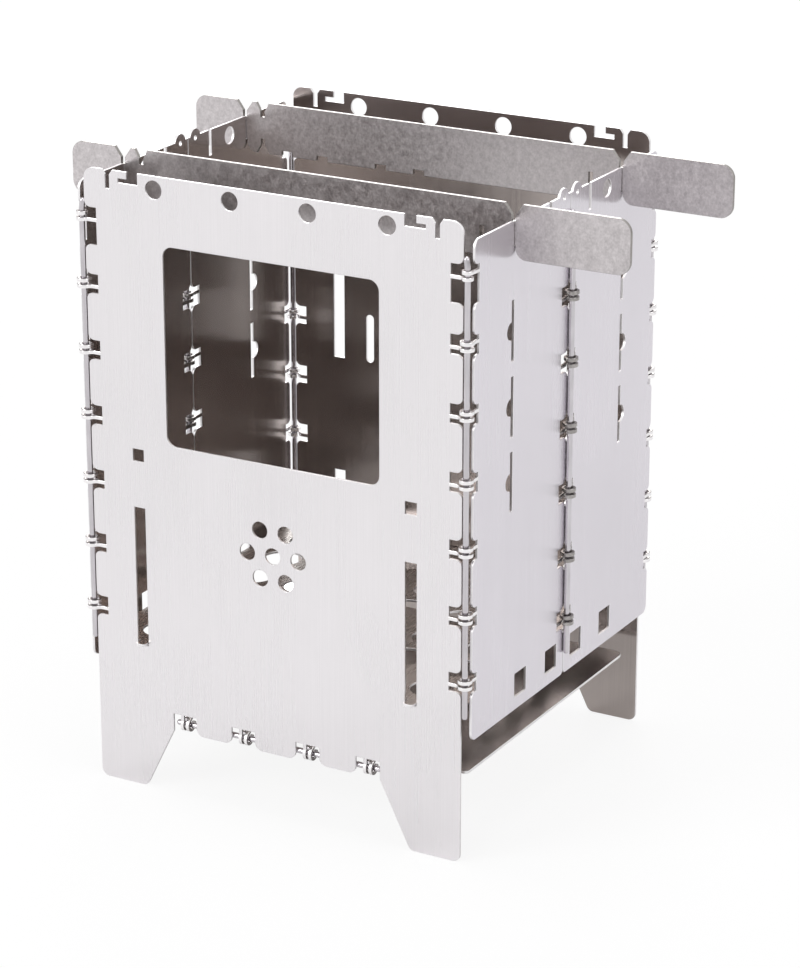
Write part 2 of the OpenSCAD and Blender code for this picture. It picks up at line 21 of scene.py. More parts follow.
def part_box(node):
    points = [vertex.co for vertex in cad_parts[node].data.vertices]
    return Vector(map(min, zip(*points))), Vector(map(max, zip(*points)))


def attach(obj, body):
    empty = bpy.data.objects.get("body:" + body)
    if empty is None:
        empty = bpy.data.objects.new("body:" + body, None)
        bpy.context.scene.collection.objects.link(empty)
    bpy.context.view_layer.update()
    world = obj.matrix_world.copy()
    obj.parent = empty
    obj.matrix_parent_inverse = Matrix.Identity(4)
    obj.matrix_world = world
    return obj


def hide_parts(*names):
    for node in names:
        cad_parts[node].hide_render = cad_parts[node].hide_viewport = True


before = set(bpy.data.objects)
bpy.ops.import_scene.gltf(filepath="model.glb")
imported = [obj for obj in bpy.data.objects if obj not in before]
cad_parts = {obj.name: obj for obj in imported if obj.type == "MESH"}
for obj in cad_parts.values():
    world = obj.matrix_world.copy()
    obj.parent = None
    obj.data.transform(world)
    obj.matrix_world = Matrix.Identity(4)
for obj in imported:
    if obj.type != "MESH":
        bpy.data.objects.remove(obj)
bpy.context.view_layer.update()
MM = 0.001

# %% [markdown]
# Colours and nodes
#
# Colours are picked as they look on a screen, which is the sRGB scale. Blender mixes light on a linear
# scale, so one function turns a hex code into linear numbers. Node trees are built by one more
# function, which adds a node, sets its options and fills its inputs. An input takes a plain value or
# another node's output.


# %% Colour and node helpers
def srgb(code):
    """A hex colour such as E8E5E7 as linear red, green, blue and an alpha of 1."""
    channels = [int(code[i : i + 2], 16) / 255 for i in (0, 2, 4)]
    linear = [c / 12.92 if c <= 0.04045 else ((c + 0.055) / 1.055) ** 2.4 for c in channels]
    return (*linear, 1.0)


def add(tree, kind, feeds=None, **options):
    """Adds a node of this kind. feeds says, for each input, its value or the output linked to it."""
    node = tree.nodes.new(kind)
    for name, value in options.items():
        setattr(node, name, value)
    for key, value in (feeds or {}).items():
        if isinstance(value, bpy.types.NodeSocket):
            tree.links.new(value, node.inputs[key])
        else:
            node.inputs[key].default_value = value
    return node


print("screen grey 808080 as linear light:", round(srgb("808080")[0], 3))

# %% [markdown]
# The stage
#
# The real picture was taken on white, with nothing but soft light. The floor is a plain pale sheet.
# What the camera sees of it is mostly a flat white, so that the floor looks endless, and a share of it
# is ordinary paint, which keeps the stove's shadow. The steel mirrors the same floor with a larger
# share of paint, because the shade under the stove and the fall-off of the light away from the lamps
# are what tells a steel wall from white card. The world above the floor is white to both. Brighter
# lamps would whiten the floor as well, but they would burn out the steel with it.


# %% How much flat white shows
def seen_glow(tree, for_camera, for_mirrors):
    """The share of flat white: for_camera straight on, for_mirrors in metal or through glass."""
    rays = add(tree, "ShaderNodeLightPath").outputs
    shares = {0: rays["Is Camera Ray"], 1: for_camera}
    straight = add(tree, "ShaderNodeMath", shares, operation="MULTIPLY").outputs[0]
    shares = {0: rays["Is Glossy Ray"], 1: rays["Is Transmission Ray"]}
    either = add(tree, "ShaderNodeMath", shares, operation="MAXIMUM").outputs[0]
    shares = {0: either, 1: for_mirrors}
    mirrored = add(tree, "ShaderNodeMath", shares, operation="MULTIPLY").outputs[0]
    return add(tree, "ShaderNodeMath", {0: straight, 1: mirrored}, operation="MAXIMUM").outputs[0]


# %% Floor
FLOOR_SIZE = 12.0
GLOW_FOR_CAMERA = 0.88
GLOW_FOR_STEEL = 0.22


def make_floor():
    """A square sheet at the height of the ground, part paint and part flat white."""
    mesh = bpy.data.meshes.new("studio_floor")
    h = FLOOR_SIZE / 2
    mesh.from_pydata([(-h, -h, 0), (h, -h, 0), (h, h, 0), (-h, h, 0)], [], [(0, 1, 2, 3)])
    floor = bpy.data.objects.new("studio_floor", mesh)
    bpy.context.scene.collection.objects.link(floor)
    paint = bpy.data.materials.new("matt white floor paint")
    paint.use_nodes = True
    tree = paint.node_tree
    tree.nodes.clear()
    matt = add(tree, "ShaderNodeBsdfDiffuse", {"Color": srgb("F4F4F4")})
    glow = add(tree, "ShaderNodeEmission", {"Color": srgb("FFFFFF"), "Strength": 1.0})
    share = seen_glow(tree, GLOW_FOR_CAMERA, GLOW_FOR_STEEL)
    mixed = {0: share, 1: matt.outputs[0], 2: glow.outputs[0]}
    surface = add(tree, "ShaderNodeMixShader", mixed).outputs[0]
    add(tree, "ShaderNodeOutputMaterial", {"Surface": surface})
    mesh.materials.append(paint)


make_floor()
print("floor in m:", FLOOR_SIZE, "of a side")

# %% World
SKY_LIGHT = 0.5


def light_world():
    """White where the camera or the steel looks at it, and half as strong as a light."""
    world = bpy.data.worlds.new("white studio")
    bpy.context.scene.world = world
    world.use_nodes = True
    tree = world.node_tree
    tree.nodes.clear()
    sky = add(tree, "ShaderNodeBackground", {"Color": srgb("FFFFFF"), "Strength": SKY_LIGHT})
    white = add(tree, "ShaderNodeBackground", {"Color": srgb("FFFFFF"), "Strength": 1.0})
    mixed = {0: seen_glow(tree, 1.0, 1.0), 1: sky.outputs[0], 2: white.outputs[0]}
    surface = add(tree, "ShaderNodeMixShader", mixed).outputs[0]
    add(tree, "ShaderNodeOutputWorld", {"Surface": surface})


light_world()
print("light from the sky:", SKY_LIGHT)

# %% [markdown]
# Lamps
#
# Big soft lamps stand round the stove: the strongest in front on the left, a weaker one on the right,
# one overhead, and one low behind it on the left, which draws the white lines along the upper edges
# of the sheets. They are wide, so that no hard shadow falls, as it would from a sun lamp.

# %% Lamps
STOVE_MIDDLE = (0, 0, 0.12)


def softbox(name, place, size, watts):
    """A square lamp at place, size metres of a side, that points at the stove."""
    light = bpy.data.lights.new(name, "AREA")
    light.energy = watts
    light.size = size
    lamp = bpy.data.objects.new(name, light)
    lamp.location = place
    lamp.rotation_mode = "QUATERNION"
    lamp.rotation_quaternion = (Vector(STOVE_MIDDLE) - Vector(place)).to_track_quat("-Z", "Y")
    bpy.context.scene.collection.objects.link(lamp)


softbox("left_softbox", (-1.8, -2.6, 1.7), 1.8, 62)
softbox("right_softbox", (1.4, -0.3, 0.8), 0.9, 4)
softbox("top_softbox", (0.0, 0.2, 1.7), 1.0, 8)
softbox("rim_softbox", (-0.9, 1.6, 0.85), 0.8, 10)
print("lamps in W:", {light.name: light.energy for light in bpy.data.lights})

# %% [markdown]
# Camera
#
# The place, the turn and the lens come from a fit: the corners of the panels, the window and the
# supports in the photo, against the same corners of the model. The photo's upright lines don't lean
# at all, which takes a shifted lens. A plain lens that is pitched down comes close to it, and also
# keeps the stove in the middle when it is seen from other sides.

# %% Camera
PHOTO_LONG_SIDE = 968
CAMERA_PLACE = (0.5925, -1.0466, 0.5436)
CAMERA_YAW = math.radians(29.498)
CAMERA_PITCH = math.radians(19.778)
FOCAL_PIXELS = 3376.8

camera_data = bpy.data.cameras.new("photo_camera")
camera_data.sensor_width = 36
camera_data.lens = FOCAL_PIXELS * camera_data.sensor_width / PHOTO_LONG_SIDE
camera_data.clip_start = 0.01
camera = bpy.data.objects.new("photo_camera", camera_data)
camera.location = CAMERA_PLACE
camera.rotation_mode = "QUATERNION"
view_line = Vector(
    (
        -math.cos(CAMERA_PITCH) * math.sin(CAMERA_YAW),
        math.cos(CAMERA_PITCH) * math.cos(CAMERA_YAW),
        -math.sin(CAMERA_PITCH),
    )
)
camera.rotation_quaternion = view_line.to_track_quat("-Z", "Y")
bpy.context.scene.collection.objects.link(camera)
bpy.context.scene.camera = camera
bpy.context.scene.view_settings.view_transform = "Standard"
print("lens in mm:", round(camera_data.lens, 1))

# %% [markdown]
# Stainless steel sheet
#
# The sheet is stainless steel, ground with a fine belt so that its grooves run upwards. Grooves smear
# reflections sideways, across themselves, which anisotropy imitates. The grooves of the real belt are
# some hundredths of a millimetre wide. They are drawn here half a millimetre wide and very faint, so
# that they just show. Broad, soft clouds stand for rolling marks and handling. Both are noise that is
# stretched to a size in millimetres, so one function makes them, and one more mixes them to a metal. A
# picture of ground steel could be laid on instead, but it would repeat on sheets as large as these.

# %% Noise of a real size
NOISE_ROUGHNESS = 0.55
# Most of the noise lies between these two values, and they are spread to 0 and 1.
NOISE_LOW = 0.3
NOISE_HIGH = 0.7


def stretched_noise(tree, places, sizes_mm, detail):
    """Noise with grains of sizes_mm along X, Y and Z: as it comes, and spread over 0 to 1."""
    scales = [1 / (size * MM) for size in sizes_mm]
    stretched = add(tree, "ShaderNodeMapping", {"Vector": places, "Scale": scales}).outputs[0]
    settings = {"Vector": stretched, "Scale": 1.0, "Detail": detail, "Roughness": NOISE_ROUGHNESS}
    noise = add(tree, "ShaderNodeTexNoise", settings).outputs["Fac"]
    limits = {"Value": noise, 1: NOISE_LOW, 2: NOISE_HIGH, 3: 0.0, 4: 1.0}
    return noise, add(tree, "ShaderNodeMapRange", limits, clamp=True).outputs[0]


# %% Steel
GRAIN_DETAIL = 2.0
CLOUD_DETAIL = 4.0
CLOUD_SHARE = 0.5


def steel(name, dark, light, rough, grain_mm, cloud_mm, smear=0.0, relief=0.0, around="Z"):
    """A metal that varies between two colours and two roughnesses.

    grain_mm and cloud_mm are the sizes of its grooves and of its clouds. smear is the anisotropy, and
    around is the axis that its direction runs round. relief is the depth of the grooves in millimetres.
    """
    material = bpy.data.materials.new(name)
    material.use_nodes = True
    tree = material.node_tree
    tree.nodes.clear()
    places = add(tree, "ShaderNodeTexCoord").outputs["Object"]
    grooves, grain = stretched_noise(tree, places, grain_mm, GRAIN_DETAIL)
    clouds = stretched_noise(tree, places, cloud_mm, CLOUD_DETAIL)[1]
    both = {0: CLOUD_SHARE, 2: grain, 3: clouds}
    pattern = add(tree, "ShaderNodeMix", both, data_type="FLOAT").outputs[0]
    tints = {0: pattern, 6: srgb(dark), 7: srgb(light)}
    limits = {"Value": pattern, 1: 0.0, 2: 1.0, 3: rough[0], 4: rough[1]}
    surface = {
        "Base Color": add(tree, "ShaderNodeMix", tints, data_type="RGBA").outputs[2],
        "Metallic": 1.0,
        "Roughness": add(tree, "ShaderNodeMapRange", limits, clamp=True).outputs[0],
    }
    if smear:
        surface["Anisotropic"] = smear
        surface["Tangent"] = add(tree, "ShaderNodeTangent", axis=around).outputs[0]
    if relief:
        bump = {"Strength": 1.0, "Distance": relief * MM, "Height": grooves}
        surface["Normal"] = add(tree, "ShaderNodeBump", bump).outputs[0]
    shader = add(tree, "ShaderNodeBsdfPrincipled", surface)
    add(tree, "ShaderNodeOutputMaterial", {"Surface": shader.outputs[0]})
    return material


# %% [markdown]
# The stove's finishes
#
# All of the stove is stainless steel, and its sheets' faces were worked in three ways: ground with a
# belt, left as the mill rolled them, or tumbled with stones. So each face gets a steel of its own, with
# the colours, the gloss and the grain of that work. A metal's colour is the share of light that it
# mirrors. So these greys are light, and where a wall looks dark, it mirrors something dark. Some of
# the steels are also painted darker or lighter than their sheet, as painted shade and painted
# highlight, and their comments say where.

# %% Finishes of the sheets' faces
# Belt-ground sheet: a satin grey that streaks upwards and smears its reflections sideways.
panel_face = steel(
    "belt-ground stainless sheet, panels",
    "E2DFE1", "EBE8EA", (0.25, 0.31), (0.5, 0.5, 70), (30, 30, 60), smear=0.8, relief=0.004,
)
# The same sheet, its colour painted a touch darker and bluer than the panels' as painted shade, because
# the walls mirror darker surroundings beside the panels.
shaded_wall_face = steel(
    "belt-ground stainless sheet, walls",
    "DBD7DD", "E6E2E8", (0.23, 0.29), (0.4, 0.4, 60), (30, 30, 60), smear=0.8, relief=0.004,
)
# The inner faces are as the mill rolled them: smoother, with soft mirror images. Their colour is also
# painted darker and browner than the sheet's, as painted shade for the inside of the box.
shaded_inner_face = steel(
    "rolled stainless sheet, inner faces",
    "BAB0AC", "CAC1BD", (0.18, 0.26), (0.5, 0.5, 60), (25, 25, 40), smear=0.85, relief=0.002,
)
# Tumbling with stones leaves a darker grey with a fine speckle, and takes the streaks away. The
# speckle is drawn 0.7 mm wide, coarser than the real one, so that it shows.
support_face = steel(
    "tumbled stainless sheet",
    "ACA7A8", "D2CDCE", (0.3, 0.46), (0.7, 0.7, 0.8), (2.2, 2.2, 2.6), smear=0.3, relief=0.004,
)
# The grate is rolled sheet too, seen through the window as a dull sheen with crisp holes.
grate_face = steel(
    "rolled stainless sheet, grate",
    "A9A4A0", "BDB8B4", (0.22, 0.32), (0.5, 60, 0.5), (25, 25, 25), relief=0.003,
)
# Bright-rolled sheet is the shiniest: the floor and the panels show in it, drawn out front to back.
ash_face = steel(
    "bright-rolled stainless sheet",
    "C2BEBD", "D2CECD", (0.16, 0.22), (60, 0.5, 0.5), (30, 30, 30), smear=0.8, relief=0.002,
    around="X",
)
faces = (panel_face, shaded_wall_face, shaded_inner_face, support_face, grate_face, ash_face)
print("faces:", [m.name for m in faces])

# %% [markdown]
# Edges, wires and rolled tongues
#
# What isn't a flat face is only a millimetre or two wide: the edges that the laser left, the wires, and
# the tongues that are rolled round them. Yet they draw all of the stove's lines, some pale and some
# dark. The cut edges and the tongues get steels of their own, painted lighter than the sheet as
# highlight, or darker as shade, which draw these lines. They could share the faces' steels, but then
# the hinges would run together into one grey.

# %% Finishes of edges, wires and knuckles
# A laser leaves a finely ribbed edge. Its colour is painted pale, near white, as a painted highlight
# that draws a thin light line round every cut-out. The ribs are drawn 0.35 mm wide, coarser than the
# real ones, so that they just show.
highlit_cut_edge = steel(
    "laser-cut sheet edge, painted pale as highlight",
    "D9D7D8", "F0EEEF", (0.32, 0.46), (0.35, 0.35, 0.35), (4, 4, 4),
)
# The supports' edges are tumbled dull as well. Their colour is painted darker than their faces, as
# painted shade for the dark that they mirror from the side.
shaded_support_edge = steel(
    "tumbled sheet edge, painted dark as shade",
    "86827F", "A8A4A1", (0.28, 0.4), (0.6, 0.6, 0.6), (4, 4, 4),
)
# Drawn wire is smooth and shiny, with one narrow highlight down its length.
wire = steel(
    "drawn stainless wire",
    "BAB6BA", "D4D0D4", (0.10, 0.18), (0.4, 0.4, 8), (6, 6, 12),
)
# Rolling the tongues polishes them, so each knuckle carries a small bright spot. Their colour is painted
# almost white, lighter than the sheet that they are cut from, as a painted highlight for the knuckles'
# bright bands.
highlit_knuckle_face = steel(
    "rolled tongue",
    "E9E6E7", "FAF8F9", (0.12, 0.2), (0.5, 0.5, 0.5), (3, 3, 3),
)
# The middle hinges' knuckles curl the other way, and turn their inner side out. Their colour is painted
# dark, as painted shade for the dark that these knuckles mirror.
shaded_middle_knuckle = steel(
    "rolled tongue, inner side out, painted shade",
    "7F7B79", "BAB6B4", (0.16, 0.26), (0.5, 0.5, 0.5), (3, 3, 3),
)
# The tongues' cut edges face each other across a narrow gap. Their colour is painted dark, as painted
# shade for that gap, so that they read as dark lines.
shaded_knuckle_edge = steel(
    "cut edge of a rolled tongue, painted dark as shade",
    "5A5552", "A8A3A1", (0.2, 0.3), (0.35, 0.35, 0.35), (2, 2, 2),
)
edges_and_wires = (highlit_cut_edge, shaded_support_edge, wire, highlit_knuckle_face, shaded_middle_knuckle, shaded_knuckle_edge)
print("edges, wires and knuckles:", [m.name for m in edges_and_wires])

# %% [markdown]
# Reading an outline from the CAD model
#
# Each sheet part is a flat blank with one outline and many cut-outs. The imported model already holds
# those lines: they are the edges that only one triangle of the sheet's face uses. They are strung
# together into loops here. Drawing them again from their measures would work too, but then a change
# of the model would have to be made twice.

# %% Loops of a face
# How far the outer face of either panel is from the middle.
FACE_Y = 73.5 * MM
# A corner this near to a face's plane counts as on it.
ON_FACE = 0.002 * MM


def face_loops(node, across, at):
    """Loops round the flat face of a CAD node where coordinate number across equals at."""
    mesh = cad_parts[node].data
    flat_axes = [i for i in range(3) if i != across]
    on_face = [abs(v.co[across] - at) < ON_FACE for v in mesh.vertices]
    # Corners are told apart to a thousandth of a millimetre.
    keys = [tuple(round(v.co[i], 6) for i in flat_axes) for v in mesh.vertices]
    uses = {}
    for polygon in mesh.polygons:
        corners = list(polygon.vertices)
        if not all(on_face[c] for c in corners):
            continue
        for a, b in zip(corners, corners[1:] + corners[:1]):
            line = frozenset((keys[a], keys[b]))
            uses[line] = uses.get(line, 0) + 1
    after = {}
    for line, count in uses.items():
        if count == 1:
            a, b = tuple(line)
            after.setdefault(a, []).append(b)
            after.setdefault(b, []).append(a)
    loops = []
    while after:
        start = min(after)
        loop, last, here = [start], None, start
        while True:
            ways = [p for p in after.pop(here) if p != last and (p in after or p == start)]
            if not ways or ways[0] == start:
                break
            last, here = here, ways[0]
            loop.append(here)
        loops.append([Vector(p) for p in loop])
    return loops


print("cut-outs in the front panel:", len(face_loops("front_panel", 1, -FACE_Y)) - 1)

# %% [markdown]
# Arrows into the metal
#
# The next step breaks the sheet's sharp edges, and for that it has to pull every outline a little way
# into the metal. At each point a short arrow is kept that says which way that is, and how far the
# point moves when both of its sides move in by 1. A loop is first turned so that the metal is on its
# left.

# %% Outline with arrows
# Keeps the arrow short at a corner where the outline nearly turns back on itself.
SHARPEST_MITRE = 0.35


def loop_area(loop):
    """Area inside a loop, above 0 where it runs anticlockwise."""
    return 0.5 * sum(a.cross(b) for a, b in zip(loop, loop[1:] + loop[:1]))


def into_metal(loop):
    """For each point of a loop that has the metal on its left, the arrow that moves both sides in by 1."""
    arrows = []
    for before, here, after in zip(loop[-1:] + loop[:-1], loop, loop[1:] + loop[:1]):
        sides = [(here - before).normalized(), (after - here).normalized()]
        normals = [Vector((-s.y, s.x)) for s in sides]
        opening = max(SHARPEST_MITRE, 1 + normals[0].dot(normals[1]))
        arrows.append((normals[0] + normals[1]) / opening)
    return arrows


def outline_object(name, loops):
    """A mesh of edges, flat on the ground, with the arrow at each point as an attribute."""
    outer = max(loops, key=lambda loop: abs(loop_area(loop)))
    points, edges, arrows = [], [], []
    for loop in loops:
        anticlockwise = loop_area(loop) > 0
        if anticlockwise != (loop is outer):
            loop = loop[::-1]
        first = len(points)
        points += [(p.x, p.y, 0) for p in loop]
        edges += [(first + i, first + (i + 1) % len(loop)) for i in range(len(loop))]
        arrows += [c for a in into_metal(loop) for c in (a.x, a.y, 0)]
    mesh = bpy.data.meshes.new(name)
    mesh.from_pydata(points, edges, [])
    mesh.attributes.new("into_metal", "FLOAT_VECTOR", "POINT").data.foreach_set("vector", arrows)
    obj = bpy.data.objects.new(name, mesh)
    bpy.context.scene.collection.objects.link(obj)
    print(name, "has", len(loops), "loops and", len(points), "points")
    return obj


# %% [markdown]
# A sheet from its outline
#
# A real sheet has a tiny round on every cut edge, and in a picture that round is what draws the bright
# line along it. The tree below pulls the outline up through the sheet in three steps: out, up, and in
# again. Both faces are filled with the pulled-in outline. It could be done with a Bevel modifier, but
# that needs clean faces to work on, and a fill of so many cut-outs is made of slivers.


# %% A group with named inputs
def new_group(name, sockets):
    """A Geometry Nodes group with a geometry input and output, and these named inputs."""
    group = bpy.data.node_groups.new(name, "GeometryNodeTree")
    group.interface.new_socket("Geometry", in_out="INPUT", socket_type="NodeSocketGeometry")
    group.interface.new_socket("Geometry", in_out="OUTPUT", socket_type="NodeSocketGeometry")
    for label, kind in sockets.items():
        group.interface.new_socket(label, in_out="INPUT", socket_type=kind)
    return group, add(group, "NodeGroupInput").outputs, add(group, "NodeGroupOutput").inputs


# %% Sheet tree: its inputs and the sides
SHEET_INPUTS = {
    "Thickness": "NodeSocketFloat",
    "Edge break": "NodeSocketFloat",
    "Low face": "NodeSocketMaterial",
    "High face": "NodeSocketMaterial",
    "Cut edge": "NodeSocketMaterial",
}


def rising_sides(group, given):
    """The pulled-in outline, and the sides that rise from it: out by the edge break, up, and in."""
    edge_break = given["Edge break"]
    arrow = add(
        group, "GeometryNodeInputNamedAttribute", {"Name": "into_metal"}, data_type="FLOAT_VECTOR"
    ).outputs[0]
    scaled = {0: arrow, "Scale": edge_break}
    inward = add(group, "ShaderNodeVectorMath", scaled, operation="SCALE").outputs[0]
    scaled = {0: inward, "Scale": -1.0}
    outward = add(group, "ShaderNodeVectorMath", scaled, operation="SCALE").outputs[0]
    both = add(group, "ShaderNodeMath", {0: edge_break, 1: 2.0}, operation="MULTIPLY").outputs[0]
    between = {0: given["Thickness"], 1: both}
    straight = add(group, "ShaderNodeMath", between, operation="SUBTRACT").outputs[0]
    moved = {"Geometry": given["Geometry"], "Offset": inward}
    pulled_in = add(group, "GeometryNodeSetPosition", moved).outputs[0]
    sides, rim = pulled_in, None
    for height, shift in ((edge_break, outward), (straight, None), (edge_break, inward)):
        up = add(group, "ShaderNodeCombineXYZ", {"Z": height}).outputs[0]
        feeds = {"Mesh": sides, "Offset": up, "Offset Scale": 1.0}
        if rim is not None:
            feeds["Selection"] = rim
        pull = add(group, "GeometryNodeExtrudeMesh", feeds, mode="EDGES")
        sides, rim = pull.outputs["Mesh"], pull.outputs["Top"]
        if shift is not None:
            moved = {"Geometry": sides, "Selection": rim, "Offset": shift}
            sides = add(group, "GeometryNodeSetPosition", moved).outputs[0]
    return pulled_in, sides


# %% Sheet tree: the whole shell
SHEET_WELD = 0.004 * MM


def make_sheet_group():
    """Sides, low face and high face in one closed shell, each with its own material."""
    group, given, result = new_group("Sheet from its outline", SHEET_INPUTS)
    pulled_in, sides = rising_sides(group, given)
    lines = add(group, "GeometryNodeMeshToCurve", {"Mesh": pulled_in}).outputs[0]
    low = add(group, "GeometryNodeFillCurve", {"Curve": lines}, mode="NGONS").outputs[0]
    up = add(group, "ShaderNodeCombineXYZ", {"Z": given["Thickness"]}).outputs[0]
    high = add(group, "GeometryNodeTransform", {"Geometry": low, "Translation": up}).outputs[0]
    parts = add(group, "GeometryNodeJoinGeometry")
    for part in (sides, low, high):
        group.links.new(part, parts.inputs[0])
    merged = {"Geometry": parts.outputs[0], "Distance": SHEET_WELD}
    shell = add(group, "GeometryNodeMergeByDistance", merged).outputs[0]
    shell = add(group, "GeometryNodeRealizeInstances", {"Geometry": shell}).outputs[0]
    # The flat faces are told from the sides by the height of their middles.
    spot = add(group, "GeometryNodeInputPosition").outputs[0]
    level = add(group, "ShaderNodeSeparateXYZ", {0: spot}).outputs["Z"]
    quarter = {0: given["Edge break"], 1: 0.25}
    quarter = add(group, "ShaderNodeMath", quarter, operation="MULTIPLY").outputs[0]
    from_top = {0: given["Thickness"], 1: quarter}
    from_top = add(group, "ShaderNodeMath", from_top, operation="SUBTRACT").outputs[0]
    lowest = add(group, "ShaderNodeMath", {0: level, 1: quarter}, operation="LESS_THAN").outputs[0]
    highest = add(group, "ShaderNodeMath", {0: level, 1: from_top}, operation="GREATER_THAN").outputs[0]
    for label, choice in (("Cut edge", None), ("Low face", lowest), ("High face", highest)):
        feeds = {"Geometry": shell, "Material": given[label]}
        if choice is not None:
            feeds["Selection"] = choice
        shell = add(group, "GeometryNodeSetMaterial", feeds).outputs[0]
    group.links.new(shell, result[0])
    return group


sheet_group = make_sheet_group()
print(sheet_group.name, "has", len(sheet_group.nodes), "nodes")

# %% [markdown]
# Turning a tree's result into a plain mesh
#
# The modifier's inputs are set by the identifiers of their sockets. The result is then taken as a
# plain mesh and the modifier goes. A shell that was mirrored or filled can have faces that point
# inwards, so they are all turned to point out. Last, a piece is tied to the body of the model that it
# moves with.


# %% Run a tree
def run_tree(obj, group, values):
    """Runs a Geometry Nodes group on an object and keeps what it makes as the object's own mesh."""
    modifier = obj.modifiers.new(group.name, "NODES")
    modifier.node_group = group
    for item in group.interface.items_tree:
        if item.item_type == "SOCKET" and item.in_out == "INPUT" and item.name in values:
            modifier[item.identifier] = values[item.name]
    obj.update_tag()
    graph = bpy.context.evaluated_depsgraph_get()
    graph.update()
    made = bpy.data.meshes.new_from_object(obj.evaluated_get(graph))
    obj.modifiers.clear()
    obj.data = made


# %% Put a piece in its place
SEAM_WELD = 0.002 * MM


def place(obj, matrix, smooth=None):
    """Moves the mesh itself into place and turns its faces outwards.

    smooth is the angle in degrees past which an edge stays sharp. Without it the faces stay flat.
    """
    obj.data.transform(matrix)
    shell = bmesh.new()
    shell.from_mesh(obj.data)
    bmesh.ops.remove_doubles(shell, verts=shell.verts, dist=SEAM_WELD)
    bmesh.ops.recalc_face_normals(shell, faces=shell.faces)
    open_edges = sum(1 for e in shell.edges if len(e.link_faces) != 2)
    for face in shell.faces:
        face.smooth = smooth is not None
    shell.to_mesh(obj.data)
    shell.free()
    for attribute in [a for a in obj.data.attributes if a.name == "into_metal"]:
        obj.data.attributes.remove(attribute)
    if smooth is not None:
        obj.data.set_sharp_from_angle(angle=math.radians(smooth))
    print(obj.name, "has", len(obj.data.polygons), "faces and", open_edges, "open edges")
    return obj


def stand(along, up, out, start):
    """The matrix that lays a flat blank's X along one axis, its Y up another and its Z out a third."""
    columns = [Vector(along), Vector(up), Vector(out)]
    turned = Matrix([[c[row] for c in columns] for row in range(3)]).to_4x4()
    return Matrix.Translation(start) @ turned


# %% Tie a piece to the model
def dress(obj, body, slot, *nodes):
    """Ties a finished piece to its CAD body, and hides the CAD nodes that it stands for. The slot is not
    used.
    """
    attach(obj, body)
    if nodes:
        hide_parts(*nodes)


# %% [markdown]
# Panels and walls
#
# The six upright sheets are cut from the same 1 mm steel. Their outer faces are ground. Their inner
# faces are left as rolled, and look darker, which is partly painted shade. Their outlines come from the
# model, with two changes that the real stove shows. The panels reach half a millimetre further out, so
# that they almost touch their wires, and the two halves of a wall leave only a hairline between them.
# The knuckles' tongues are cut off here, because the tongues are made with the knuckles later on.


# %% Where the hinges stand
def middle_of(node):
    """The middle of a CAD node's box."""
    low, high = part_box(node)
    return (low + high) / 2


BOX_X = middle_of("front_panel").x
WIRE_R = (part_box("front_right_pin")[1].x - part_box("front_right_pin")[0].x) / 2
CORNER_X = middle_of("front_right_pin").x - BOX_X
CORNER_Y = middle_of("rear_right_pin").y
MIDDLE_X = middle_of("right_middle_pin").x - BOX_X
# Heights above the ground of the seven pairs of knuckles on every upright wire.
LOWEST_MM = 70.4
SPAN_MM = 151.1
STATION_COUNT = 7
STATIONS = [(LOWEST_MM + i * SPAN_MM / (STATION_COUNT - 1)) * MM for i in range(STATION_COUNT)]
print("wire radius in mm:", round(WIRE_R / MM, 2))
print("knuckles at, in mm:", [round(z / MM, 1) for z in STATIONS])

# %% Measures of the panels and walls
SHEET = 1.0 * MM
PANEL_HALF_W = 77.5 * MM
WALL_TO_WIRE = 0.2 * MM
WALL_X = CORNER_X + WIRE_R + WALL_TO_WIRE
WALL_INSET = 1.5 * MM
WALL_END_Y = FACE_Y - WALL_INSET
WALL_MID_GAP = 1.0 * MM
# How far the knuckles' cut-outs reach in from the edges of a panel, and of a wall at either end.
PANEL_BITE = 4.5 * MM
CORNER_BITE = 3.5 * MM
MIDDLE_BITE = 5.2 * MM
# A knuckle's width along its wire, and the distance between the middles of the two in a pair.
KNUCKLE_WIDTH = 1.4 * MM
KNUCKLE_STEP = 2.3 * MM
print("walls' inner faces in mm from the middle:", round(WALL_X / MM, 2))

# %% Outlines as the photo has them
SIDE_STEP = 0.5 * MM
HAIRLINE = 0.3 * MM
NEAR = 0.02 * MM


def on_tongue(point, tongues):
    """True for an outline point on a tongue. Each tongue is its cut-out's floor, way out and level."""
    for floor, way, level in tongues:
        at_station = any(abs(point[1] - z - level) < KNUCKLE_WIDTH / 2 + NEAR for z in STATIONS)
        if at_station and way * (point[0] - floor) > NEAR:
            return True
    return False


def up_to_wire(point):
    """Moves a panel's side edges out, because the real panel almost touches its hinge wires."""
    middle = Vector((BOX_X, point.y))
    past = (point - middle).length - (PANEL_HALF_W - PANEL_BITE)
    if past > 0:
        return point + (point - middle).normalized() * SIDE_STEP * past / PANEL_BITE
    return point


def nearly_closed(point):
    """Moves a wall's middle edge out, because the real halves leave only a hairline between them."""
    if abs(abs(point.x) - WALL_MID_GAP / 2) < NEAR:
        return Vector((math.copysign(HAIRLINE / 2, point.x), point.y))
    return point


# %% Cut a sheet
# How far the laser's sharp edges are broken.
EDGE_BREAK = 0.13 * MM
X, Y, Z = (1, 0, 0), (0, 1, 0), (0, 0, 1)


def cut_sheet(name, node, across, at, thickness, low, high, edge=highlit_cut_edge, tongues=(), shift=None):
    """A sheet with broken edges from the CAD face where coordinate number across equals at.

    low, high and edge are its materials, tongues are left out, and shift moves the outline's points.
    """
    loops = face_loops(node, across, at)
    if shift:
        loops = [[shift(p) for p in loop] for loop in loops]
    loops = [[p for p in loop if not on_tongue(p, tongues)] for loop in loops]
    blank = outline_object(name, loops)
    values = {
        "Thickness": thickness,
        "Edge break": EDGE_BREAK,
        "Low face": low,
        "High face": high,
        "Cut edge": edge,
    }
    run_tree(blank, sheet_group, values)
    flat = [(X, Y, Z)[i] for i in range(3) if i != across]
    out = (X, Y, Z)[across]
    return place(blank, stand(flat[0], flat[1], out, Vector(out) * at))


